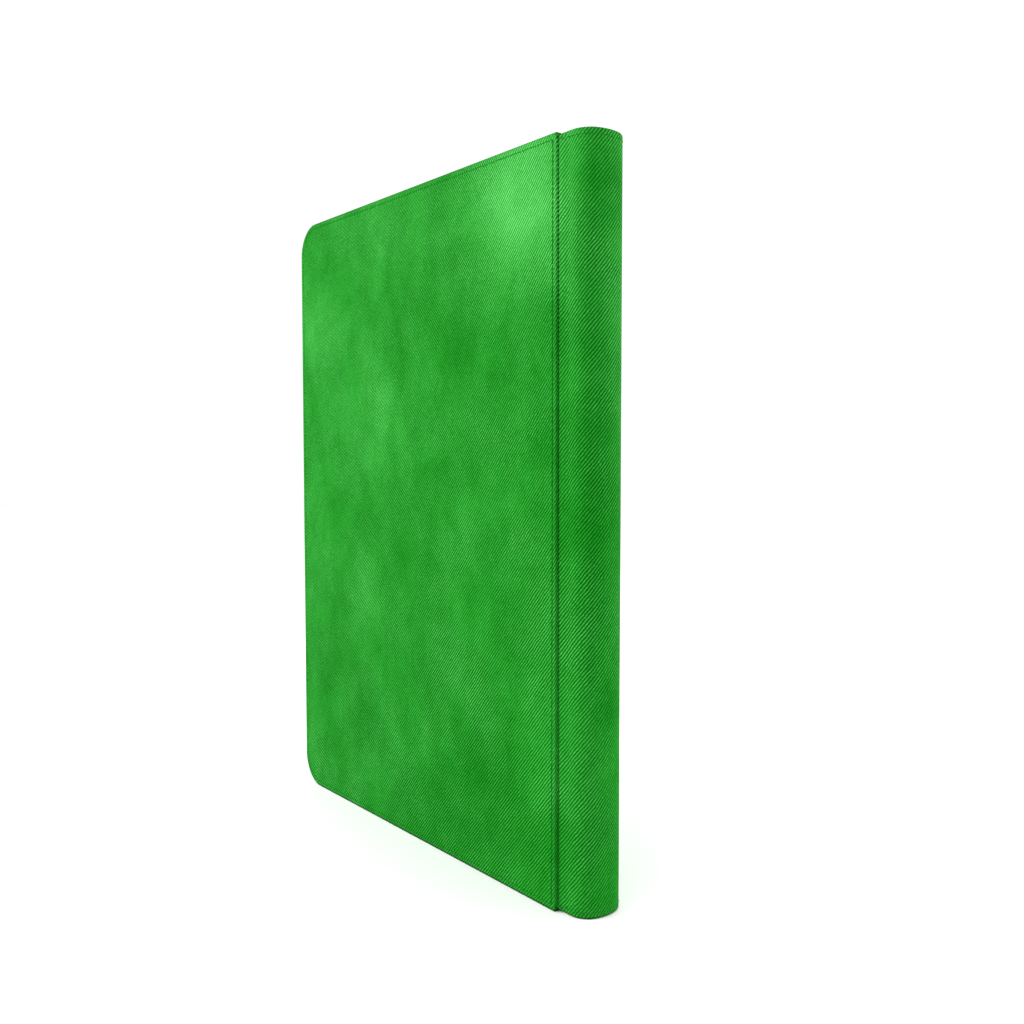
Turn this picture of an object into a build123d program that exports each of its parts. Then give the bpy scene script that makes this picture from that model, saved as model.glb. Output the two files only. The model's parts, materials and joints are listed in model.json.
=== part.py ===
"""Stock album for stamps: a stitched case in three panels with a rounded spine, and a block of
twelve stock leaves on cloth hinges. It stands closed on its tail edge.

Millimetres. +Z runs up the spine, +X towards the spine, -Y out of the back cover and +Y out of the
front cover. The origin is the middle of the closed album's footprint.
"""

import math
import os

from build123d import *

# ---- the closed album ----
height = 305.0
cover_width = 219.3  # from the fore edge to the step where the spine cloth begins
thickness = 28.0  # over both covers
corner_radius = 16.0  # the two corners at the fore edge
step_corner_radius = 1.5  # the two corners at the spine

# ---- one cover, from the outside in ----
skin_thick = 0.7
foam_thick = 0.5
board_thick = 1.6
lining_thick = 0.4
skin_wall = 1.0  # the skin where it turns over the edge of the board
skin_edge_round = 0.5

# ---- the rounded spine ----
step_down = 2.45  # the spine cloth starts this far below the face of the cover
spine_bulge = 15.6  # how far the crown stands out beyond the covers
shoulder_radius = 9.0
crown_radius = 18.0
spine_skin_thick = 0.8
former_thick = 1.6
spine_lining_thick = 0.4
spine_lining_inset = 3.0  # the lining stops this far short of the head and the tail
lip_gap = 0.3  # between the edge of a cover and the start of the spine cloth
former_start = 5.6  # the stiff former leaves this much of the cloth free to bend
former_inset = 1.0  # the former stops short of the head and the tail

# ---- stitching ----
stitch_inset = 2.6  # from an outer edge
stitch_inset_spine_side = 2.2  # from the edge at the spine
spine_stitch_inset = 2.7
thread_width = 0.5
thread_depth = 0.35
thread_sunk = 0.2  # how deep the thread lies in the cloth

# ---- leaves ----
leaf_count = 12
leaf_pitch = 1.75
card_thick = 0.6
leaf_corner_radius = 4.0
leaf_fore_inset = 6.0  # behind the fore edge of the covers
leaf_end_inset = 5.0  # inside the head and the tail of the covers
leaf_hinge_from_step = 12.0  # the hinge line of a leaf lies this far inside the step
card_from_hinge = 0.4
strips_per_page = 9
strip_thick = 0.2
strip_height = 27.0
strip_end_margin = 7.0  # from a card's head and tail to the first strip
strip_spine_margin = 9.0
strip_fore_margin = 5.0
interleaf_thick = 0.1
interleaf_air = 0.05  # between an interleaf and the strips under it
interleaf_from_hinge = 3.0
interleaf_glue_width = 3.0
interleaf_fore_margin = 2.0

# ---- binding at the spine ----
tape_thick = 0.3
tape_from_hinge = 0.4
stub_from_hinge = 1.6
stub_back = 4.0  # the stubs end this far beyond the step, inside the spine
binding_cloth_thick = 0.5
joint_strip_thick = 0.3
joint_strip_end = 5.2

# ---- worked out from the sizes above ----
cover_thick = skin_thick + foam_thick + board_thick + lining_thick
step_x = (cover_width - spine_bulge) / 2
cover_middle_x = step_x - cover_width / 2
hinge_x = step_x - leaf_hinge_from_step
spine_half = thickness / 2 - step_down
block_half = (leaf_count - 1) / 2 * leaf_pitch
leaf_height = height - 2 * leaf_end_inset
fore_x = step_x - cover_width
mid_z = height / 2

os.makedirs("parts", exist_ok=True)


def write(piece, label):
    """Names a finished piece and writes it to its own file."""
    piece.part.label = label
    export_step(piece.part, f"parts/{label}.step")


# ---------------------------------------------------------------- covers


def cover_plane(side, depth):
    """The plane of a cover at a height of depth from the middle of the album; side is -1 at the
    back and +1 at the front, and the plane's normal points outwards."""
    return Plane(
        origin=(cover_middle_x, side * depth, mid_z), x_dir=(1, 0, 0), z_dir=(0, side, 0)
    )


def cover_outline(inset, spine_side_inset=None):
    """The outline of a cover, drawn in from its edge."""
    at_spine = inset if spine_side_inset is None else spine_side_inset
    wide = cover_width - inset - at_spine
    with Locations(((inset - at_spine) / 2, 0)):
        Rectangle(wide, height - 2 * inset)
    corners = vertices().group_by(Axis.X)
    fillet(corners[0], max(corner_radius - inset, 0.5))
    fillet(vertices().group_by(Axis.X)[-1], max(step_corner_radius - inset, 0.5))


def thread_ring(side, depth, cut=False):
    """A line of stitching round a cover, extruded outwards from depth."""
    half = thread_width / 2
    with BuildSketch(cover_plane(side, depth)) as ring:
        cover_outline(stitch_inset - half, stitch_inset_spine_side - half)
        with BuildSketch(mode=Mode.SUBTRACT):
            cover_outline(stitch_inset + half, stitch_inset_spine_side + half)
    extrude(ring.sketch, amount=thread_depth, mode=Mode.SUBTRACT if cut else Mode.ADD)


def make_cover(side, name):
    """The skin, foam, board, lining and stitching of one cover."""
    outside = thickness / 2
    inside = outside - cover_thick
    lining_top = inside + lining_thick
    board_top = lining_top + board_thick
    foam_top = board_top + foam_thick

    with BuildPart() as skin:
        with BuildSketch(cover_plane(side, lining_top)):
            cover_outline(0)
        extrude(amount=outside - lining_top)
        outer_edges = skin.faces().sort_by(Axis.Y)[0 if side < 0 else -1].edges()
        fillet(outer_edges, skin_edge_round)
        with BuildSketch(cover_plane(side, lining_top)):
            cover_outline(skin_wall)
        extrude(amount=foam_top - lining_top, mode=Mode.SUBTRACT)
        thread_ring(side, outside - thread_sunk, cut=True)
    write(skin, f"{name}_cover_skin")

    for layer, low, high in (
        ("foam_pad", board_top, foam_top),
        ("board", lining_top, board_top),
    ):
        with BuildPart() as core:
            with BuildSketch(cover_plane(side, low)):
                cover_outline(skin_wall)
            extrude(amount=high - low)
        write(core, f"{name}_cover_{layer}")

    with BuildPart() as lining:
        with BuildSketch(cover_plane(side, inside)):
            cover_outline(0)
        extrude(amount=lining_thick)
        thread_ring(side, inside + thread_sunk - thread_depth, cut=True)
    write(lining, f"{name}_cover_lining")

    with BuildPart() as stitching:
        thread_ring(side, outside - thread_sunk)
        thread_ring(side, inside + thread_sunk - thread_depth)
    write(stitching, f"{name}_cover_stitching")


# ---------------------------------------------------------------- spine


def spine_plane(z):
    """The plane across the spine at a height z, with its origin on the step line."""
    return Plane(origin=(step_x, 0, z), x_dir=(1, 0, 0), z_dir=(0, 0, 1))


def spine_outline(depth, start):
    """The rounded section of the spine, drawn in from its outer face by depth: two flat lips from
    start, two shoulders and a crown, closed by a straight line at start."""
    reach = crown_radius - shoulder_radius
    shoulder_y = spine_half - shoulder_radius
    shoulder_x = spine_bulge - crown_radius + math.sqrt(reach**2 - shoulder_y**2)
    crown_half_angle = math.degrees(math.asin(shoulder_y / reach))
    lip = spine_half - depth
    with BuildLine() as outline:
        upper = Line((start, lip), (shoulder_x, lip))
        first = JernArc(upper @ 1, upper % 1, shoulder_radius - depth, crown_half_angle - 90)
        crown = JernArc(first @ 1, first % 1, crown_radius - depth, -2 * crown_half_angle)
        last = JernArc(crown @ 1, crown % 1, shoulder_radius - depth, crown_half_angle - 90)
        lower = Line(last @ 1, (start, -lip))
        Line(lower @ 1, upper @ 0)
    make_face(outline.edges())


def spine_layer(label, low, high, start, inset):
    """One layer of the spine, from depth low to depth high below its outer face."""
    with BuildPart() as layer:
        with BuildSketch(spine_plane(inset)):
            spine_outline(low, start)
            with BuildSketch(mode=Mode.SUBTRACT):
                spine_outline(high, start - 1)
        extrude(amount=height - 2 * inset)
        if low == 0:
            for z in stitch_rows:
                with BuildSketch(spine_plane(z)):
                    spine_outline(-1, start - 1)
                    with BuildSketch(mode=Mode.SUBTRACT):
                        spine_outline(thread_sunk, start - 2)
                extrude(amount=thread_width, mode=Mode.SUBTRACT)
    write(layer, label)


stitch_rows = (
    spine_stitch_inset - thread_width / 2,
    height - spine_stitch_inset - thread_width / 2,
)
former_depth = spine_skin_thick + former_thick
spine_layer("spine_skin", 0, spine_skin_thick, lip_gap, 0)
spine_layer("spine_former", spine_skin_thick, former_depth, former_start, former_inset)
lining_depth = former_depth + spine_lining_thick
spine_layer("spine_lining", former_depth, lining_depth, former_start, spine_lining_inset)

with BuildPart() as spine_stitching:
    for row_z in stitch_rows:
        with BuildSketch(spine_plane(row_z)):
            spine_outline(thread_sunk - thread_depth, lip_gap)
            with BuildSketch(mode=Mode.SUBTRACT):
                spine_outline(thread_sunk, lip_gap - 1)
        extrude(amount=thread_width)
write(spine_stitching, "spine_stitching")

make_cover(-1, "back")
make_cover(1, "front")

# ---------------------------------------------------------------- binding

stub_width = leaf_hinge_from_step - stub_from_hinge + stub_back
stub_middle_x = step_x + stub_back - stub_width / 2
leaf_ys = [block_half - k * leaf_pitch for k in range(leaf_count)]
gap_ys = [(a + b) / 2 for a, b in zip(leaf_ys, leaf_ys[1:])]

with BuildPart() as leaf_stubs:
    with Locations(*[(stub_middle_x, y, mid_z) for y in leaf_ys]):
        Box(stub_width, card_thick, leaf_height)
write(leaf_stubs, "leaf_stubs")

with BuildPart() as stub_spacers:
    with Locations(*[(stub_middle_x, y, mid_z) for y in gap_ys]):
        Box(stub_width, leaf_pitch - card_thick, leaf_height)
write(stub_spacers, "stub_spacers")

tape_width = stub_from_hinge - tape_from_hinge
with BuildPart() as leaf_hinge_tapes:
    tape_middle_x = hinge_x + tape_from_hinge + tape_width / 2
    with Locations(*[(tape_middle_x, y, mid_z) for y in leaf_ys]):
        Box(tape_width, tape_thick, leaf_height)
write(leaf_hinge_tapes, "leaf_hinge_tapes")

# The binding cloth is glued over the back of the stubs and out to the joint strips.
cloth_half = spine_half - spine_skin_thick - joint_strip_thick
stub_half = block_half + card_thick / 2
with BuildPart() as binding_cloth:
    with BuildSketch(spine_plane(leaf_end_inset)):
        with Locations(((lip_gap + stub_back + binding_cloth_thick) / 2, 0)):
            Rectangle(stub_back + binding_cloth_thick - lip_gap, 2 * cloth_half)
        with Locations(((lip_gap + stub_back) / 2, 0)):
            Rectangle(stub_back - lip_gap, 2 * stub_half, mode=Mode.SUBTRACT)
    extrude(amount=leaf_height)
write(binding_cloth, "binding_cloth")

# A joint strip backs the bending part of the spine cloth on each side.
for side, name in ((-1, "back"), (1, "front")):
    with BuildPart() as joint_strip:
        strip_length = joint_strip_end - lip_gap
        strip_y = side * (cloth_half + joint_strip_thick / 2)
        with Locations((step_x + lip_gap + strip_length / 2, strip_y, mid_z)):
            Box(strip_length, joint_strip_thick, height)
    write(joint_strip, f"{name}_joint_strip")

# ---------------------------------------------------------------- leaves

card_near_x = hinge_x - card_from_hinge
card_far_x = fore_x + leaf_fore_inset
strip_near_x = hinge_x - strip_spine_margin
strip_far_x = card_far_x + strip_fore_margin
strip_pitch = (leaf_height - 2 * strip_end_margin) / strips_per_page
first_strip_z = leaf_end_inset + strip_end_margin + strip_pitch / 2
interleaf_near_x = hinge_x - interleaf_from_hinge
interleaf_far_x = card_far_x + interleaf_fore_margin


def make_card(y, label):
    """The black card of one leaf, with its two outer corners rounded."""
    with BuildPart() as card:
        with Locations(((card_near_x + card_far_x) / 2, y, mid_z)):
            Box(card_near_x - card_far_x, card_thick, leaf_height)
        fillet(card.edges().filter_by(Axis.Y).group_by(Axis.X)[0], leaf_corner_radius)
    write(card, label)


def make_strips(y, label):
    """The clear strips on both pages of one leaf, open along their upper edges."""
    with BuildPart() as strips:
        for face in (-1, 1):
            strip_y = y + face * (card_thick + strip_thick) / 2
            rows = [
                ((strip_near_x + strip_far_x) / 2, strip_y, first_strip_z + row * strip_pitch)
                for row in range(strips_per_page)
            ]
            with Locations(*rows):
                Box(strip_near_x - strip_far_x, strip_thick, strip_height)
    write(strips, label)


def make_interleaf(y, face, label):
    """The glassine sheet on the page of a leaf that looks to the middle of the block: a flat
    sheet over the strips, with its edge folded down to the card and glued."""
    card_face = y + face * card_thick / 2
    under = card_face + face * (strip_thick + interleaf_air)
    over = under + face * interleaf_thick
    glue_x = interleaf_near_x - interleaf_glue_width
    with BuildPart() as interleaf:
        with BuildSketch(Plane.XY.offset(leaf_end_inset)):
            with BuildLine():
                Polyline(
                    (interleaf_near_x, card_face),
                    (interleaf_near_x, over),
                    (interleaf_far_x, over),
                    (interleaf_far_x, under),
                    (glue_x, under),
                    (glue_x, card_face),
                    close=True,
                )
            make_face()
        extrude(amount=leaf_height)
    write(interleaf, label)


middle = leaf_count // 2
for k, leaf_y in enumerate(leaf_ys):
    make_card(leaf_y, f"leaf_{k + 1:02d}_card")
    make_strips(leaf_y, f"leaf_{k + 1:02d}_strips")
    if k < middle:
        make_interleaf(leaf_y, -1, f"interleaf_{k + 1:02d}")
    elif k > middle:
        make_interleaf(leaf_y, 1, f"interleaf_{k:02d}")
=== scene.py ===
import json
import math

import bmesh
import bpy
from mathutils import Matrix, Vector


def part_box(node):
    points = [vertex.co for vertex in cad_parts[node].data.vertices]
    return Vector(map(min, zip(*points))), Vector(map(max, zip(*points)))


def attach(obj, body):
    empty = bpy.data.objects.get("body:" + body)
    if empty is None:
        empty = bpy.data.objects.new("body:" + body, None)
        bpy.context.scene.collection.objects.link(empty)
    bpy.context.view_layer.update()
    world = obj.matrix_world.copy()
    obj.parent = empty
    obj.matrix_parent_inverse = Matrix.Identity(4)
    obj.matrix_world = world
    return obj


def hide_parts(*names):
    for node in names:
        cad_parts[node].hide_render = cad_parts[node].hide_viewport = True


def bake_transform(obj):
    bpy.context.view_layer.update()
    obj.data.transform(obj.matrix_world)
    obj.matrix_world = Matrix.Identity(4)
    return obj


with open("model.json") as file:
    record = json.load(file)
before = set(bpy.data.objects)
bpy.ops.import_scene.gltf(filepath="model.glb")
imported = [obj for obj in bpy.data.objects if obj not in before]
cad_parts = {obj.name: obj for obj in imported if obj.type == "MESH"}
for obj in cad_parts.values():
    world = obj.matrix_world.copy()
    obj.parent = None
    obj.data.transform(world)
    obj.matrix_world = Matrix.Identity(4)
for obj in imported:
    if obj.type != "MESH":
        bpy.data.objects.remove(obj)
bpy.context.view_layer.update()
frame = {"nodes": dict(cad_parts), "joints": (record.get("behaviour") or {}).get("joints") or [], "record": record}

# places that the frame gives
coverLow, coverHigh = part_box("back_cover_skin")
cardLow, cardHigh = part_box("leaf_01_card")
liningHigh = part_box("back_cover_lining")[1]
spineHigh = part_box("spine_skin")[1]
foreX, stepX = coverLow.x, coverHigh.x
outerY, innerY = coverLow.y, coverHigh.y
tailZ, headZ = coverLow.z, coverHigh.z
midX, midZ = (foreX + stepX) / 2, (tailZ + headZ) / 2
flankY = spineHigh.y
joints = {joint["name"]: joint for joint in frame["joints"]}
leaves = [f"leaf_{number:02d}" for number in range(1, 13)]


# picking and moving by hand

def selectOnly(*pieces):
    bpy.ops.object.select_all(action="DESELECT")
    for piece in pieces:
        piece.select_set(True)
    bpy.context.view_layer.objects.active = pieces[0]


def enter(piece):
    selectOnly(piece)
    bpy.ops.object.mode_set(mode="EDIT")
    bpy.ops.mesh.select_all(action="SELECT")


def leave():
    bpy.ops.object.mode_set(mode="OBJECT")


def pick(piece, kind, test):  # kind is verts, edges or faces
    bpy.ops.mesh.select_mode(type=kind[:-1].upper())
    bpy.ops.mesh.select_all(action="DESELECT")
    mesh = bmesh.from_edit_mesh(piece.data)
    for part in getattr(mesh, kind):
        part.select_set(test(part))
    mesh.select_flush_mode()
    bmesh.update_edit_mesh(piece.data)


def near(a, b, reach=0.00002):
    return abs(a - b) < reach


def settle(piece):  # puts a piece's place, turn and scale into its mesh
    selectOnly(piece)
    bpy.ops.object.transform_apply(location=True, rotation=True, scale=True)
    return piece


def addPlane(name, middle, turn, wide, tall):  # wide is along X and tall along Y before the turn
    bpy.ops.object.select_all(action="DESELECT")
    bpy.ops.mesh.primitive_plane_add(size=1, location=middle, rotation=turn)
    piece = bpy.context.active_object
    piece.name = name
    piece.scale = (wide, tall, 1)
    return settle(piece)


def extrude(x=0.0, y=0.0, z=0.0):
    bpy.ops.mesh.extrude_region_move(TRANSFORM_OT_translate={"value": (x, y, z)})


def roundCorners(radius, steps):
    bpy.ops.mesh.bevel(offset=radius, segments=steps, affect="VERTICES")


def spin(centre, axis, angle, steps, copies=False):  # the operator itself turns clockwise
    bpy.ops.mesh.spin(steps=steps, angle=-angle, center=centre, axis=axis, dupli=copies)


def thicken(piece, thickness, offset=-1):
    selectOnly(piece)
    wall = piece.modifiers.new("wall", "SOLIDIFY")
    wall.thickness = thickness
    wall.offset = offset
    bpy.ops.object.modifier_apply(modifier="wall")
    return piece


def smooth(piece, angle=40):
    enter(piece)
    bpy.ops.mesh.normals_make_consistent(inside=False)
    leave()
    selectOnly(piece)
    bpy.ops.object.shade_smooth_by_angle(angle=math.radians(angle))
    return piece


def copyOf(piece, name, shift=(0, 0, 0), turn=(0, 0, 0), scale=(1, 1, 1)):
    selectOnly(piece)
    bpy.ops.object.duplicate(linked=False)
    made = bpy.context.active_object
    made.name = name
    made.location, made.rotation_euler, made.scale = shift, turn, scale
    return settle(made)


def frontCopy(piece, name, angle=40):  # the front cover's side is the back's in a mirror
    return smooth(copyOf(piece, name, scale=(1, -1, 1)), angle)


def together(name, pieces):
    selectOnly(*pieces)
    bpy.ops.object.join()
    made = bpy.context.active_object
    made.name = name
    return made


def repeated(piece, count, step):
    selectOnly(piece)
    row = piece.modifiers.new("row", "ARRAY")
    row.use_relative_offset = False
    row.use_constant_offset = True
    row.constant_offset_displace = step
    row.count = count
    bpy.ops.object.modifier_apply(modifier="row")
    return piece


def dress(piece, finish):  # a new piece's material
    piece.data.materials.clear()
    piece.data.materials.append(finish)


# node recipes

class Wire:
    def __init__(self, finish, socket):
        self.finish = finish
        self.socket = socket

    def output(self, index):
        return Wire(self.finish, self.socket.node.outputs[index])

    def maths(self, operation, a, b):
        return self.finish.node("ShaderNodeMath", {"operation": operation}, {0: a, 1: b})

    def __add__(self, other):
        return self.maths("ADD", self, other)

    def __radd__(self, other):
        return self.maths("ADD", other, self)

    def __sub__(self, other):
        return self.maths("SUBTRACT", self, other)

    def __rsub__(self, other):
        return self.maths("SUBTRACT", other, self)

    def __mul__(self, other):
        return self.maths("MULTIPLY", self, other)

    def __rmul__(self, other):
        return self.maths("MULTIPLY", other, self)

    def __pow__(self, other):
        return self.maths("POWER", self, other)


class Finish:
    def __init__(self, name):
        self.material = bpy.data.materials.new(name)
        self.material.use_nodes = True
        self.tree = self.material.node_tree
        self.tree.nodes.clear()

    def node(self, kind, settings, values, output=0):
        made = self.tree.nodes.new(kind)
        for key, value in settings.items():
            if key == "stops":
                for place, colour in value[2:]:
                    made.color_ramp.elements.new(place)
                for stop, (place, colour) in zip(made.color_ramp.elements, value):
                    stop.position = place
                    stop.color = colour
            else:
                setattr(made, key, value)
        for socket, value in values.items():
            if isinstance(value, Wire):
                self.tree.links.new(value.socket, made.inputs[socket])
            else:
                made.inputs[socket].default_value = value
        return Wire(self, made.outputs[output]) if made.outputs else None

    def place(self):
        return self.node("ShaderNodeTexCoord", {}, {}, output=3)

    def pattern(self, uvMap):
        return self.node("ShaderNodeUVMap", {"uv_map": uvMap}, {})

    def stretch(self, vector, by):
        return self.node("ShaderNodeVectorMath", {"operation": "MULTIPLY"}, {0: vector, 1: by})

    def axes(self, vector):
        first = self.node("ShaderNodeSeparateXYZ", {}, {0: vector})
        return first, first.output(1), first.output(2)

    def noise(self, vector, scale, detail=2.0, roughness=0.5, distortion=0.0):
        values = {"Vector": vector, "Scale": scale, "Detail": detail}
        values.update({"Roughness": roughness, "Distortion": distortion})
        return self.node("ShaderNodeTexNoise", {}, values)

    def wave(self, turns):  # from 0 to 1, once for each whole turn
        swing = self.node("ShaderNodeMath", {"operation": "SINE"}, {0: turns * math.tau})
        return swing * 0.5 + 0.5

    def rescale(self, wire, low, high, newLow=0.0, newHigh=1.0):  # clamped at both ends
        return self.node("ShaderNodeMapRange", {}, {0: wire, 1: low, 2: high, 3: newLow, 4: newHigh})

    def ramp(self, wire, stops):
        stops = [(place, (*colour, 1)) for place, colour in stops]
        return self.node("ShaderNodeValToRGB", {"stops": stops}, {0: wire})

    def mix(self, factor, a, b, mode="MIX"):
        settings = {"data_type": "RGBA", "blend_type": mode}
        return self.node("ShaderNodeMix", settings, {0: factor, 6: a, 7: b}, output=2)

    def grey(self, wire):
        return self.node("ShaderNodeCombineXYZ", {}, {0: wire, 1: wire, 2: wire})

    def bump(self, height, distance, strength=1.0):
        values = {"Height": height, "Distance": distance, "Strength": strength}
        return self.node("ShaderNodeBump", {}, values)

    def surface(self, values):
        shader = self.node("ShaderNodeBsdfPrincipled", {}, values)
        self.node("ShaderNodeOutputMaterial", {}, {0: shader})
        return self.material


# finishes

twill = dict(
    ridgesAcross=0.615,  # ridges met in a millimetre, along the cloth and up it
    ridgesUp=-0.56,
    closer=(2, 32, 3.0),  # ridges are closer round the spine: from and to, and by how much, in millimetres
    ridgeHeight=0.0002,
    ridgeTone=0.93,  # how much the ridges and grooves change the tone: painted shade in the grooves and painted highlight on the ridges
    cloudTone=1.2,
    cloudShift=(0.31, 0.12, 0),
    rubs=(  # soft lighter and darker places, partly mottling and partly painted light, brightest near the head by the seam: along the cloth, up it, radius, tone
        (-0.022, 0.288, 0.056, 0.50),
        (0.012, 0.285, 0.022, -0.18),
        (-0.205, 0.252, 0.045, 0.14),
        (-0.140, 0.205, 0.040, 0.11),
        (-0.150, 0.112, 0.036, 0.22),
        (-0.060, 0.225, 0.040, -0.10),
        (-0.088, 0.165, 0.046, -0.14),
        (-0.190, 0.075, 0.042, -0.15),
        (-0.075, 0.020, 0.060, -0.13),
        (0.018, 0.150, 0.050, -0.10),
    ),
    tones=(  # from the deepest groove to the lightest rubbed ridge, the dark of the grooves and the light of the ridges being partly painted shade and highlight
        (0.0, (0.0002, 0.080, 0.0003)),
        (0.2, (0.0004, 0.134, 0.0012)),
        (0.4, (0.0068, 0.199, 0.0100)),
        (0.6, (0.0270, 0.278, 0.0325)),
        (0.8, (0.0610, 0.376, 0.0680)),
        (1.0, (0.1040, 0.480, 0.1140)),
    ),
    fullTone=1.25,  # the tone that gets the lightest colour
    tailShade=0.8,  # painted shade: the cloth is darker where it turns over the tail and the head
    tailBand=(0.0011, 0.0004),  # it darkens between these distances from the end
    headShade=0.4,
    headBand=(0.0006, 0.0001),
    nubShade=0.4,  # painted shade on the cover's edge where it shows above the spine's corners
    nubBand=(0.0032, 0.0018),  # from head and tail
    edgeBands=((-0.0004, -0.0001), (0.0002, 0.00005)),  # where the nub's painted shade lies: from the step, on its two sides
)


def makeTwill():
    f = Finish("green_twill")
    cloth = f.pattern("cloth")
    x, y, _ = f.axes(f.stretch(cloth, (1000, 1000, 1000)))
    closerFrom, closerTo, closerBy = twill["closer"]
    x = x + f.rescale(x, closerFrom, closerTo, 0, closerBy)
    wander = f.noise(cloth, 260, 3, 0.55) * 0.7
    ridge = f.wave(x * twill["ridgesAcross"] + y * twill["ridgesUp"] + wander)
    bead = f.noise(f.stretch(cloth, (1, 1.3, 1)), 1000, 3, 0.65)
    raised = f.rescale(ridge, 0.08, 0.72) * f.rescale(bead, 0.3, 0.7, 0.58, 1.18)

    spot = f.node("ShaderNodeMapping", {}, {"Vector": cloth, "Location": twill["cloudShift"]})
    clouds = f.noise(spot, 15, 3, 0.55, 0.3)
    smears = f.noise(f.stretch(spot, (1.0, 0.7, 1.0)), 55, 4, 0.62, 0.25)
    grain = f.noise(spot, 330, 3, 0.65)
    mottle = clouds * 0.42 + smears * 0.40 + grain * 0.18 - 0.5
    rubbed = f.rescale(f.noise(spot, 28, 4, 0.6, 0.4), 0.36, 0.64, 1.0, 0.6)
    # the ridges carry a painted highlight and the grooves a painted shade
    tone = 0.5 + mottle * twill["cloudTone"] + (raised - 0.60) * rubbed * twill["ridgeTone"]
    # soft places of mottling and painted light, added to the tone
    for along, up, radius, change in twill["rubs"]:
        values = {0: cloth, 1: (along, up, 0)}
        away = f.node("ShaderNodeVectorMath", {"operation": "DISTANCE"}, values, output=1)
        values = {0: away, 1: radius, 2: 0.0, 3: 0.0, 4: change}
        tone = tone + f.node("ShaderNodeMapRange", {"interpolation_type": "SMOOTHSTEP"}, values)

    # painted shade along the tail and the head, and on the cover's edge above the spine's corners
    px, _, pz = f.axes(f.place())
    start, end = twill["tailBand"]
    tail = f.rescale(pz, tailZ + start, tailZ + end, 0, twill["tailShade"])
    start, end = twill["headBand"]
    head = f.rescale(pz, headZ - start, headZ - end, 0, twill["headShade"])
    # the cover's edge by the step, where the nub's painted shade lies
    rise, fall = (f.rescale(px, stepX + start, stepX + end) for start, end in twill["edgeBands"])
    start, end = twill["nubBand"]
    nub = f.rescale((pz - midZ) ** 2, (midZ - start) ** 2, (midZ - end) ** 2, 0, twill["nubShade"])
    shade = (1 - tail) * (1 - head) * (1 - rise * fall * nub)
    colour = f.ramp(tone * (1 / twill["fullTone"]), twill["tones"])
    return f.surface({
        "Base Color": f.mix(1.0, colour, f.grey(shade), "MULTIPLY"),
        "Roughness": f.rescale(tone, 0.0, 1.0, 0.72, 0.56),
        "Specular IOR Level": 0.02,
        "Normal": f.bump(raised * rubbed, twill["ridgeHeight"], 0.4),
    })


def makeThread():
    f = Finish("green_thread")
    around, along, _ = f.axes(f.pattern("UVMap"))
    ply = f.wave(around * 2 + along * 5)
    # painted shade: the thread darkens towards its ends, where it dives into the needle holes
    ends = f.rescale(f.wave(along - 0.25), 0.1, 0.8, 0.15, 1.0)
    fuzz = f.rescale(f.noise(f.place(), 9000, 2), 0.3, 0.7, 0.8, 1.1)
    shade = ends * fuzz * (0.7 + 0.3 * ply)
    colour = f.mix(1.0, (0.0115, 0.212, 0.0165, 1), f.grey(shade), "MULTIPLY")
    return f.surface({
        "Base Color": colour,
        "Roughness": 0.75,
        "Specular IOR Level": 0.04,
        "Normal": f.bump(ply, 0.00006, 0.6),
    })


def makeLiningPaper():
    f = Finish("black_lining")
    place = f.place()
    fibres = f.noise(f.stretch(place, (1, 1, 0.35)), 2600, 3, 0.7)
    cloud = f.noise(place, 30, 4, 0.6)
    stops = [(0.3, (0.006, 0.006, 0.007)), (0.7, (0.022, 0.022, 0.024))]
    return f.surface({
        "Base Color": f.ramp(fibres * 0.6 + cloud * 0.4, stops),
        "Roughness": f.rescale(cloud, 0.3, 0.7, 0.72, 0.88),
        "Specular IOR Level": 0.35,
        "Normal": f.bump(fibres, 0.00006, 0.5),
    })


def makeCard():
    f = Finish("black_card")
    place = f.place()
    fibres = f.noise(place, 1900, 4, 0.7)
    cloud = f.noise(place, 55, 3, 0.6)
    stops = [(0.3, (0.008, 0.008, 0.009)), (0.7, (0.021, 0.021, 0.022))]
    return f.surface({
        "Base Color": f.ramp(fibres * 0.5 + cloud * 0.5, stops),
        "Roughness": f.rescale(fibres, 0.3, 0.7, 0.6, 0.8),
        "Normal": f.bump(fibres, 0.00004, 0.4),
    })


def makeLinen():
    f = Finish("hinge_linen")
    x, y, z = f.axes(f.stretch(f.place(), (1800, 1800, 1800)))
    weave = f.wave(x + y) * 0.5 + f.wave(z) * 0.5
    slubs = f.noise(f.place(), 900, 3, 0.6)
    stops = [(0.2, (0.006, 0.006, 0.007)), (0.8, (0.030, 0.030, 0.032))]
    return f.surface({
        "Base Color": f.ramp(weave * 0.6 + slubs * 0.4, stops),
        "Roughness": f.rescale(slubs, 0.3, 0.7, 0.78, 0.92),
        "Normal": f.bump(weave, 0.00008, 0.6),
    })


def makeFilm():
    f = Finish("clear_film")
    place = f.place()
    ripple = f.noise(f.stretch(place, (0.4, 1, 1)), 60, 2, 0.5)
    scuff = f.noise(place, 700, 3, 0.6)
    return f.surface({
        "Base Color": f.ramp(scuff, [(0.4, (0.60, 0.62, 0.64)), (0.7, (0.75, 0.77, 0.78))]),
        "Roughness": f.rescale(scuff, 0.4, 0.7, 0.04, 0.12),
        "Alpha": f.rescale(scuff, 0.35, 0.75, 0.13, 0.20),
        "Specular IOR Level": 0.9,
        "Normal": f.bump(ripple, 0.0006, 0.5),
    })


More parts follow.
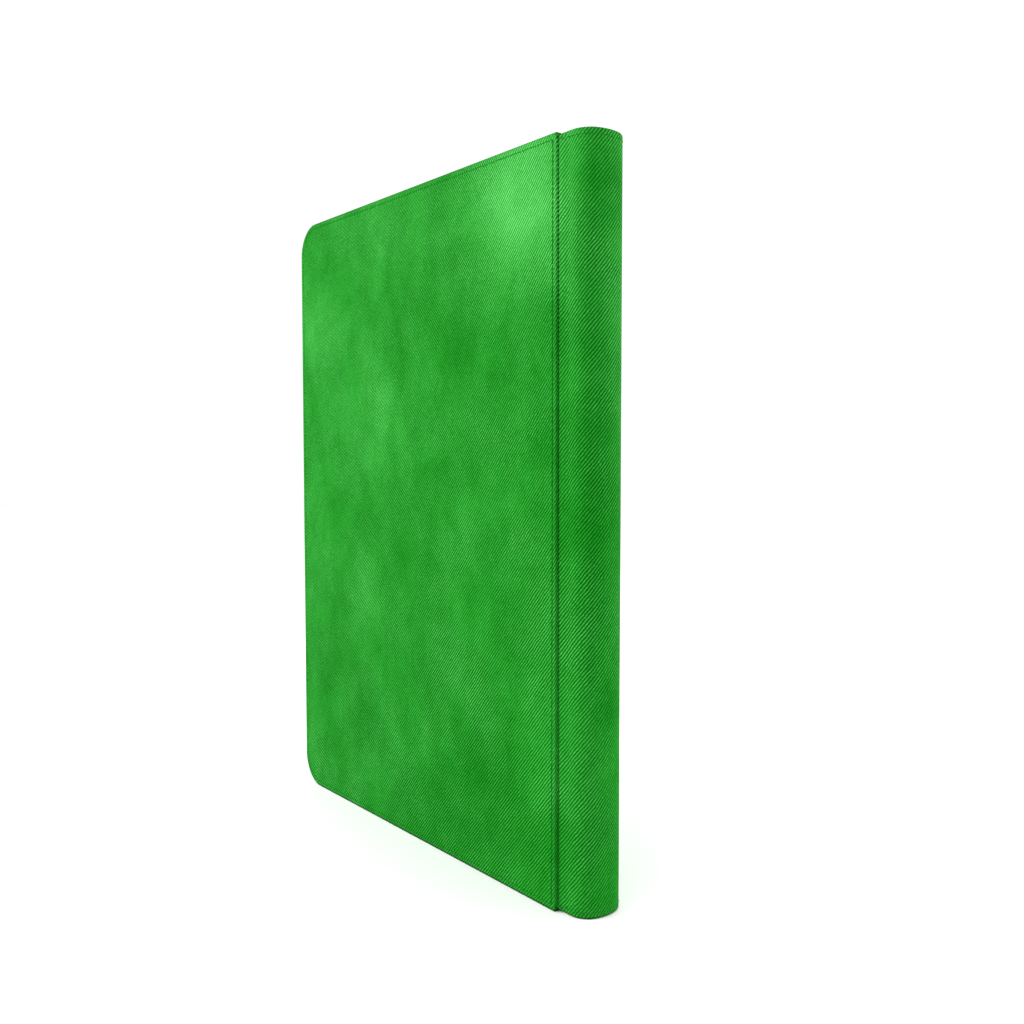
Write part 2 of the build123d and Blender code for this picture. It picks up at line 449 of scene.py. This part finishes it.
def makeGlassine():
    f = Finish("glassine")
    place = f.place()
    fibres = f.noise(place, 240, 5, 0.7)
    crinkle = f.noise(place, 38, 4, 0.55, 0.8)
    return f.surface({
        "Base Color": f.ramp(fibres, [(0.35, (0.70, 0.70, 0.66)), (0.7, (0.86, 0.86, 0.82))]),
        "Roughness": f.rescale(fibres, 0.3, 0.7, 0.28, 0.42),
        "Alpha": f.rescale(fibres, 0.3, 0.7, 0.42, 0.58),
        "Normal": f.bump(crinkle, 0.0012, 0.5),
    })


def makeBoard():
    f = Finish("grey_board")
    specks = f.noise(f.place(), 800, 4, 0.75)
    return f.surface({
        "Base Color": f.ramp(specks, [(0.3, (0.24, 0.23, 0.21)), (0.7, (0.40, 0.38, 0.35))]),
        "Roughness": f.rescale(specks, 0.3, 0.7, 0.82, 0.95),
        "Normal": f.bump(specks, 0.00008, 0.5),
    })


def makeFoam():
    f = Finish("foam")
    cells = f.noise(f.place(), 2400, 3, 0.7)
    return f.surface({
        "Base Color": f.ramp(cells, [(0.3, (0.60, 0.60, 0.57)), (0.7, (0.80, 0.80, 0.77))]),
        "Roughness": f.rescale(cells, 0.3, 0.7, 0.85, 0.98),
        "Normal": f.bump(cells, 0.0001, 0.6),
    })


print("mixing finishes")
finishes = {
    "twill_leatherette": makeTwill(),
    "thread": makeThread(),
    "black_lining": makeLiningPaper(),
    "black_card": makeCard(),
    "hinge_linen": makeLinen(),
    "clear_film": makeFilm(),
    "glassine": makeGlassine(),
    "grey_board": makeBoard(),
    "foam": makeFoam(),
}

for part in frame["record"]["subparts"]:
    node = frame["nodes"][part["node"]]
    node.data.materials.clear()
    node.data.materials.append(finishes[part["material_slot"]])


# the line of the cloth round the spine

spine = dict(
    shoulderRadius=0.009,
    crownRadius=0.018,
    softLength=0.0056,  # the soft cloth runs this far from the step
    bendEnd=0.0045,
    thick=0.00246,  # cloth and former, with the cloth turned in at the ends
    endRound=0.0011,
    endSteps=5,
    clothThick=0.0008,
    shoulderSteps=16,
    crownSteps=26,
)
joint = dict(
    tuck=0.001,  # the cloth starts this far inside the edge of the cover
    steps=16,
    crowding=1.7,  # the steps are shorter at the seam
    swell=0.00232,  # the cloth stands this much higher beside the seam than at the former
    crease=0.00018,
    creaseDepth=0.75,  # part of the swell that is lost right at the seam
    swellRows=((0.0012, 0.35), (0.0014, 0.65), (0.0018, 0.9), (0.0023, 1.0)),  # from head and tail
    liningReach=0.008,  # how far the inner strip lies on the lining
    liningThick=0.00011,
    liningSunk=0.00002,
    liningInset=0.002,  # from head and tail
    liningRamp=0.0005,  # the strip climbs onto the cloth over this length
)

bulge = spineHigh.x - stepX
reach = spine["crownRadius"] - spine["shoulderRadius"]
shoulderY = flankY - spine["shoulderRadius"]
shoulderX = bulge - spine["crownRadius"] + math.sqrt(reach ** 2 - shoulderY ** 2)
crownHalf = math.asin(shoulderY / reach)
shoulderTurn = math.pi / 2 - crownHalf
shoulderArc = spine["shoulderRadius"] * shoulderTurn
crownArc = spine["crownRadius"] * crownHalf
clothRound = 2 * (shoulderX + shoulderArc + crownArc)  # from the back step to the front step


def swellAt(along):  # how far the soft cloth stands above the flank
    fall = math.cos(math.pi / 2 * min(along / spine["softLength"], 1)) ** 2
    return joint["swell"] * fall * (1 - joint["creaseDepth"] * math.exp(-along / joint["crease"]))


def onSpine(along):  # the outer face at a distance along the cloth: x, y and the turn from +X
    s = min(along, clothRound - along)
    if s < shoulderX:
        x, y, turn = stepX + s, -flankY - swellAt(s), 0
    elif s < shoulderX + shoulderArc:
        turn = (s - shoulderX) / spine["shoulderRadius"]
        x = stepX + shoulderX + spine["shoulderRadius"] * math.sin(turn)
        y = -shoulderY - spine["shoulderRadius"] * math.cos(turn)
    else:
        turn = shoulderTurn + (s - shoulderX - shoulderArc) / spine["crownRadius"]
        x = stepX + bulge - spine["crownRadius"] + spine["crownRadius"] * math.sin(turn)
        y = -spine["crownRadius"] * math.cos(turn)
    if along > clothRound / 2:
        y, turn = -y, math.pi - turn
    return x, y, turn


def alongSpine(co):  # the distance along the cloth of a point of the spine
    x, y = co.x - stepX, abs(co.y)
    if x < shoulderX:
        s = x
    else:
        turn = math.atan2(x - shoulderX, y - shoulderY)
        if 0 <= turn < shoulderTurn and y > shoulderY:
            s = shoulderX + spine["shoulderRadius"] * turn
        else:
            crownTurn = math.atan2(x - bulge + spine["crownRadius"], y)
            s = clothRound / 2 - spine["crownRadius"] * (math.pi / 2 - crownTurn)
    return s if co.y < 0 else clothRound - s


def clothOnSpine(co):
    return alongSpine(co), co.z


def atEdge(away):  # 1 at an edge of the cover, fading to 0 at 2 mm from it
    return max(0.0, 1 - away / 0.002)


def clothOnCover(co):  # the cloth runs on over the turned edges
    depth = min(abs(co.y) - abs(outerY), 0)
    foreSide, spineSide = atEdge(co.x - foreX), atEdge(stepX - co.x)
    headSide, tailSide = atEdge(headZ - co.z), atEdge(co.z - tailZ)
    along = co.x - stepX + depth * (foreSide - spineSide)
    up = co.z - depth * (headSide - tailSide)
    return (along, up) if co.y < 0 else (clothRound - along, up)


def layCloth(piece, place):  # a map of the cloth, in metres
    layer = piece.data.uv_layers.new(name="cloth")
    for loop in piece.data.loops:
        layer.data[loop.index].uv = place(piece.data.vertices[loop.vertex_index].co)
    piece.data.uv_layers.active = layer


# covers

cover = dict(
    cornerRadius=0.016,
    cornerSteps=14,
    spineCornerRadius=0.00052,
    spineCornerSteps=4,
    edgeRound=0.00045,
    edgeSteps=4,
    innerRound=0.0003,
    rimDrop=0.00006,  # the rim lies this much lower than the middle
    rim=0.0015,
    stitchInset=0.0026,
    stitchInsetAtSpine=0.0022,
    mergeReach=0.0002,
    channel=(  # the groove that the stitches lie in: in from the rim, and outwards
        (0.00005, 0),
        (0.0002, -0.00012),
        (0.00025, -0.0001),
        (0.00025, 0.0001),
        (0.0002, 0.00018),
    ),
    flat=0.0008,
)


def pickPanel(piece):  # the large flat face that looks out of the back cover
    largest = max(face.calc_area() for face in bmesh.from_edit_mesh(piece.data).faces)
    pick(piece, "faces", lambda f: f.normal.y < -0.99 and f.calc_area() > 0.9 * largest)


def makeCoverSkin():
    rimY = outerY + cover["rimDrop"]
    upright = (math.pi / 2, 0, 0)
    skin = addPlane("back_cover_case", (midX, rimY, midZ), upright, stepX - foreX, headZ - tailZ)
    enter(skin)
    pick(skin, "verts", lambda v: v.co.x < midX)
    roundCorners(cover["cornerRadius"], cover["cornerSteps"])
    pick(skin, "verts", lambda v: near(v.co.x, stepX))
    roundCorners(cover["spineCornerRadius"], cover["spineCornerSteps"])
    leave()
    thicken(skin, innerY - rimY)
    enter(skin)
    pick(skin, "edges", lambda e: all(near(v.co.y, rimY) for v in e.verts))
    bpy.ops.mesh.bevel(offset=cover["edgeRound"], segments=cover["edgeSteps"], affect="EDGES")
    pick(skin, "edges", lambda e: all(near(v.co.y, innerY) for v in e.verts))
    bpy.ops.mesh.bevel(offset=cover["innerRound"], segments=2, affect="EDGES")
    inset = cover["edgeRound"]
    for z in (tailZ + inset, headZ - inset):  # the panel's corners at the spine come to a point
        corner = Vector((stepX - inset, rimY, z))
        pick(skin, "verts", lambda v: (v.co - corner).length < cover["mergeReach"])
        bpy.ops.mesh.merge(type="CENTER")
    pickPanel(skin)
    bpy.ops.mesh.inset(thickness=cover["rim"])
    inset += cover["rim"]
    pick(skin, "verts", lambda v: near(v.co.x, stepX - inset, 0.0001) and near(v.co.y, rimY))
    bpy.ops.transform.translate(value=(cover["stitchInset"] - cover["stitchInsetAtSpine"], 0, 0))
    pickPanel(skin)
    for thickness, depth in cover["channel"] + ((cover["flat"], 0),):
        bpy.ops.mesh.inset(thickness=thickness, depth=depth)
    leave()
    return smooth(skin)


# stitches

stitch = dict(
    pitch=0.0025,
    length=0.0021,
    width=0.00046,
    height=0.00034,
    endLength=0.0004,
    endDip=0.0001,
    slant=math.radians(4),
    sunk=0.0001,  # the thread's middle below the face of the cloth
    innerSunk=0.00002,  # and below the face of the lining
)


def makeStitch():  # along X, with its outer side towards -Y
    bpy.ops.object.select_all(action="DESELECT")
    lying = (0, math.pi / 2, 0)
    bpy.ops.mesh.primitive_uv_sphere_add(segments=8, ring_count=6, radius=0.5, rotation=lying)
    piece = bpy.context.active_object
    piece.name = "stitch"
    settle(piece)
    piece.scale = (2 * stitch["endLength"], stitch["height"], stitch["width"])
    settle(piece)
    stretch = stitch["length"] / 2 - stitch["endLength"]
    enter(piece)
    for way in (-1, 1):
        pick(piece, "verts", lambda v: v.co.x * way > 0.00001)
        bpy.ops.transform.translate(value=(way * stretch, 0, 0))
        pick(piece, "verts", lambda v: v.co.x * way > stretch + 0.6 * stitch["endLength"])
        bpy.ops.transform.translate(value=(0, stitch["endDip"], 0))
    leave()
    smooth(piece, 60)
    piece.rotation_euler = (0, stitch["slant"], 0)
    return settle(piece)


def stitchRun(start, end):  # a straight run on the back cover
    line = end - start
    count = round(line.length / stitch["pitch"])
    turn = (0, -math.pi / 2, 0) if abs(line.z) > abs(line.x) else (0, 0, 0)
    return repeated(copyOf(seed, "run", start + line / (2 * count), turn), count, line / count)


def stitchCorner(centre, radius, startTurn):  # a quarter turn round a corner of the back cover
    count = round(radius * math.pi / 2 / stitch["pitch"])
    step = math.pi / 2 / count
    turn = startTurn + step / 2
    first = centre + Matrix.Rotation(turn, 3, "Y") @ Vector((0, 0, -radius))
    piece = copyOf(seed, "corner", first, (0, turn, 0))
    enter(piece)
    spin(centre, (0, 1, 0), step * (count - 1), count - 1, copies=True)
    leave()
    return piece


def makeCoverStitches():
    radius, inset = cover["cornerRadius"], cover["stitchInset"]
    y = outerY + stitch["sunk"]
    left, right = foreX + inset, stepX - cover["stitchInsetAtSpine"]
    low, high = tailZ + inset, headZ - inset
    turnX, lowTurn, highTurn = foreX + radius, tailZ + radius, headZ - radius
    return together("back_cover_stitches", [
        stitchRun(Vector((turnX, y, low)), Vector((right, y, low))),
        stitchRun(Vector((turnX, y, high)), Vector((right, y, high))),
        stitchRun(Vector((left, y, lowTurn)), Vector((left, y, highTurn))),
        stitchRun(Vector((right, y, low)), Vector((right, y, high))),
        stitchCorner(Vector((turnX, y, lowTurn)), radius - inset, 0),
        stitchCorner(Vector((turnX, y, highTurn)), radius - inset, math.pi / 2),
    ])


print("making the covers")
seed = makeStitch()
backSkin = makeCoverSkin()
frontSkin = frontCopy(backSkin, "front_cover_case")
backStitches = makeCoverStitches()
innerStitchY = liningHigh.y - stitch["innerSunk"]
mirrorShift = (0, outerY + stitch["sunk"] + innerStitchY, 0)
backInnerStitches = copyOf(backStitches, "back_cover_inner_stitches", mirrorShift, scale=(1, -1, 1))
smooth(backInnerStitches, 60)
frontStitches = frontCopy(backStitches, "front_cover_stitches", 60)
frontInnerStitches = frontCopy(backInnerStitches, "front_cover_inner_stitches", 60)

for side, skin, outside, inside in (
    ("back", backSkin, backStitches, backInnerStitches),
    ("front", frontSkin, frontStitches, frontInnerStitches),
):
    layCloth(skin, clothOnCover)
    dress(skin, finishes["twill_leatherette"])
    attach(skin, f"{side}_cover")
    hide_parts(f"{side}_cover_skin")
    for rows in (outside, inside):
        dress(rows, finishes["thread"])
        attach(rows, f"{side}_cover")
        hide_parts(f"{side}_cover_stitching")


# spine

def makeSpineShell():
    start = stepX + spine["softLength"]
    middle = (start, -flankY + spine["thick"] / 2, midZ)
    shell = addPlane("spine_case", middle, (0, math.pi / 2, 0), headZ - tailZ, spine["thick"])
    enter(shell)
    roundCorners(spine["endRound"], spine["endSteps"])
    extrude(x=shoulderX - spine["softLength"])
    spin((stepX + shoulderX, -shoulderY, midZ), (0, 0, 1), shoulderTurn, spine["shoulderSteps"])
    spin((stepX + bulge - spine["crownRadius"], 0, midZ), (0, 0, 1), 2 * crownHalf, spine["crownSteps"])
    spin((stepX + shoulderX, shoulderY, midZ), (0, 0, 1), shoulderTurn, spine["shoulderSteps"])
    extrude(x=spine["softLength"] - shoulderX)
    leave()
    return smooth(shell)


def makeJointCloth():  # the soft cloth between the back cover and the stiff part of the spine
    middle = (stepX - joint["tuck"], -flankY + spine["thick"] / 2, midZ)
    cloth = addPlane("back_joint_cloth", middle, (0, math.pi / 2, 0), headZ - tailZ, spine["thick"])
    enter(cloth)
    roundCorners(spine["endRound"], spine["endSteps"])
    inside = -flankY + spine["clothThick"]
    pick(cloth, "verts", lambda v: v.co.y > inside)
    bpy.ops.transform.resize(value=(1, 0, 1), center_override=(0, inside, 0))
    bpy.ops.mesh.select_all(action="SELECT")
    extrude(x=joint["tuck"])
    shares = [step / joint["steps"] for step in range(joint["steps"] + 1)]
    places = [spine["softLength"] * share ** joint["crowding"] for share in shares]
    for here, there in zip(places, places[1:]):
        extrude(x=there - here)
    for inset, share in joint["swellRows"]:
        for z in (tailZ + inset, headZ - inset):
            bpy.ops.mesh.select_all(action="SELECT")
            bpy.ops.mesh.bisect(plane_co=(0, 0, z), plane_no=(0, 0, 1))
        for along in places:
            pick(cloth, "verts", lambda v: near(v.co.x, stepX + along) and near(v.co.y, -flankY)
                 and near(abs(v.co.z - midZ), midZ - inset))
            bpy.ops.transform.translate(value=(0, -share * swellAt(along), 0))
    leave()
    return smooth(cloth, 50)


def makeJointLining():  # a linen strip inside the joint, from the lining to the binding cloth
    outer = liningHigh.y - joint["liningSunk"]
    middle = (stepX - joint["liningReach"], outer + joint["liningThick"] / 2, midZ)
    height = headZ - tailZ - 2 * joint["liningInset"]
    strip = addPlane("back_joint_lining", middle, (0, math.pi / 2, 0), height, joint["liningThick"])
    enter(strip)
    climb = -flankY + spine["clothThick"] - joint["liningSunk"] - outer
    extrude(x=joint["liningReach"] - joint["tuck"] - joint["liningRamp"])
    extrude(x=joint["liningRamp"], y=climb)
    extrude(x=joint["tuck"])
    for step in range(joint["steps"]):
        extrude(x=spine["bendEnd"] / joint["steps"])
    leave()
    return smooth(strip)


spineStitch = dict(
    inset=0.0027,
    first=0.0006,
    softCount=2,  # stitches on the soft cloth, at each end of a row
    sunkShare=0.3,
)


def makeSpineStitches():
    soft = {"back": [], "front": []}
    stiff = []
    count = round((clothRound - 2 * spineStitch["first"]) / stitch["pitch"])
    step = (clothRound - 2 * spineStitch["first"]) / count
    for z in (tailZ + spineStitch["inset"], headZ - spineStitch["inset"]):
        for number in range(count):
            x, y, turn = onSpine(spineStitch["first"] + (number + 0.5) * step)
            inward = Vector((-math.sin(turn), math.cos(turn), 0)) * stitch["sunk"] * spineStitch["sunkShare"]
            row = stiff
            if number < spineStitch["softCount"]:
                row = soft["back"]
            elif number >= count - spineStitch["softCount"]:
                row = soft["front"]
            row.append(copyOf(seed, "spine_stitch", Vector((x, y, z)) + inward, (0, 0, turn)))
    return (
        together("back_joint_stitches", soft["back"]),
        together("spine_stitches", stiff),
        together("front_joint_stitches", soft["front"]),
    )


print("making the spine")
shell = makeSpineShell()
layCloth(shell, clothOnSpine)
dress(shell, finishes["twill_leatherette"])
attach(shell, "spine")
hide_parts("spine_skin")
backJointStitches, spineStitches, frontJointStitches = makeSpineStitches()
dress(spineStitches, finishes["thread"])
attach(spineStitches, "spine")
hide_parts("spine_stitching")

backJoint = makeJointCloth()
backJointLining = makeJointLining()
frontJoint = frontCopy(backJoint, "front_joint_cloth")
frontJointLining = frontCopy(backJointLining, "front_joint_lining")
for side, cloth, strip, rows in (
    ("back", backJoint, backJointLining, backJointStitches),
    ("front", frontJoint, frontJointLining, frontJointStitches),
):
    layCloth(cloth, clothOnSpine)
    dress(cloth, finishes["twill_leatherette"])
    dress(strip, finishes["hinge_linen"])
    dress(rows, finishes["thread"])
    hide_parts(f"{side}_joint_strip")
    for piece in (cloth, strip, rows):
        start, end = (stepX, 0, midZ), (stepX + spine["bendEnd"], 0, midZ)
        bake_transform(piece)
        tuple(start)
        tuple(end)


# leaves

pocket = dict(
    rows=9,
    height=0.027,
    endMargin=0.007,
    spineMargin=0.009,  # from the hinge
    foreMargin=0.005,
    film=0.00005,
    rise=((0.00002, 0.0012), (0.00005, 0.0038), (0.00004, 0.009), (0.00002, 0.0124)),  # out and up
    weld=0.0006,
)


def makePockets():  # the strips of one leaf, with the leaf's middle on Y = 0
    hingeX = joints["leaf_01_turn"]["pos_m"][0]
    left, right = cardLow.x + pocket["foreMargin"], hingeX - pocket["spineMargin"]
    pitch = (cardHigh.z - cardLow.z - 2 * pocket["endMargin"]) / pocket["rows"]
    bottom = cardLow.z + pocket["endMargin"] + (pitch - pocket["height"]) / 2
    cardFace = -(cardHigh.y - cardLow.y) / 2
    y = cardFace - pocket["film"]
    middle = ((left + right) / 2, y, bottom + pocket["weld"] / 2)
    strip = addPlane("pocket", middle, (math.pi / 2, 0, 0), right - left, pocket["weld"])
    enter(strip)
    pick(strip, "edges", lambda e: all(v.co.z > bottom + pocket["weld"] / 2 for v in e.verts))
    for out, up in pocket["rise"]:
        extrude(y=-out, z=up)
    leave()
    smooth(thicken(strip, pocket["film"], 1), 30)
    repeated(strip, pocket["rows"], (0, 0, pitch))
    return together("leaf_pockets", [strip, frontCopy(strip, "pocket", 30)])


tape = dict(
    thick=0.0003,
    overCard=0.00008,
    intoStub=0.0022,
    ontoCard=0.0028,
    bend=0.0004,  # it has finer steps this far to each side of the hinge line
    bendSteps=6,
    step=0.0001,  # it widens to the card over this length
)


def makeTape():  # one linen hinge, with its hinge line on X = 0 and Y = 0
    height = cardHigh.z - cardLow.z
    middleZ = (cardHigh.z + cardLow.z) / 2
    strip = addPlane("tape", (tape["intoStub"], 0, middleZ), (0, math.pi / 2, 0), height, tape["thick"])
    enter(strip)
    extrude(x=-tape["intoStub"] + tape["bend"])
    for step in range(tape["bendSteps"]):
        extrude(x=-2 * tape["bend"] / tape["bendSteps"])
    extrude(x=-tape["step"])
    wide = (cardHigh.y - cardLow.y) / 2 + tape["overCard"]
    bpy.ops.transform.resize(value=(1, wide / (tape["thick"] / 2), 1), center_override=(0, 0, middleZ))
    extrude(x=-tape["ontoCard"] + tape["bend"] + tape["step"])
    leave()
    return smooth(strip)


print("making the leaves")
pockets, hinge = makePockets(), makeTape()
for leaf in leaves:
    turn = joints[f"{leaf}_turn"]
    hingeX, leafY, _ = turn["pos_m"]
    strips = copyOf(pockets, f"{leaf}_pockets", (0, leafY, 0))
    dress(strips, finishes["clear_film"])
    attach(strips, leaf)
    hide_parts(f"{leaf}_strips")
    linen = copyOf(hinge, f"{leaf}_tape", (hingeX, leafY, 0))
    dress(linen, finishes["hinge_linen"])
    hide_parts("leaf_hinge_tapes")
    start, end = (hingeX + tape["bend"], leafY, 0), (hingeX - tape["bend"], leafY, 0)
    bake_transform(linen)
    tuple(start)
    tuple(end)

for spare in (seed, pockets, hinge):
    bpy.data.objects.remove(spare)


# floor, lights and camera

studio = dict(
    floor=8,
    world=1.06,
    key=dict(place=(-0.75, -1.0, 0.75), size=0.8, power=18.0),
    rim=dict(place=(0.55, 1.0, 0.5), size=0.6, power=10.0),
    camera=(0.41975, -0.2760, 0.1809),
    aim=(-0.796, 0.603, -0.0524),  # the way that the camera looks
    lens=37.2,
)


def makeFloor():
    floor = addPlane("floor", (0, 0, tailZ), (0, 0, 0), studio["floor"], studio["floor"])
    f = Finish("pale_floor")
    haze = f.noise(f.place(), 3, 2)
    colour = f.ramp(haze, [(0.3, (0.93, 0.93, 0.93)), (0.7, (0.95, 0.95, 0.95))])
    paint = f.surface({"Base Color": colour, "Roughness": 0.9, "Specular IOR Level": 0.1})
    floor.data.materials.append(paint)


def addLight(name, place, size, power):
    bpy.ops.object.select_all(action="DESELECT")
    bpy.ops.object.light_add(type="AREA", location=place)
    light = bpy.context.active_object
    light.name = name
    light.data.size = size
    light.data.energy = power
    aim = Vector((0, 0, midZ)) - Vector(place)
    light.rotation_euler = aim.to_track_quat("-Z", "Y").to_euler()


def addCamera():
    bpy.ops.object.camera_add(location=studio["camera"])
    camera = bpy.context.active_object
    camera.rotation_euler = Vector(studio["aim"]).to_track_quat("-Z", "Y").to_euler()
    camera.data.lens = studio["lens"]
    camera.data.sensor_width = 36
    camera.data.clip_start = 0.01
    bpy.context.scene.camera = camera


print("setting up the studio")
makeFloor()
for name in ("key", "rim"):
    addLight(name, **studio[name])
addCamera()
world = bpy.data.worlds.new("studio")
world.use_nodes = True
world.node_tree.nodes["Background"].inputs[0].default_value = (1, 1, 1, 1)
world.node_tree.nodes["Background"].inputs[1].default_value = studio["world"]
bpy.context.scene.world = world
bpy.context.scene.view_settings.view_transform = "Standard"
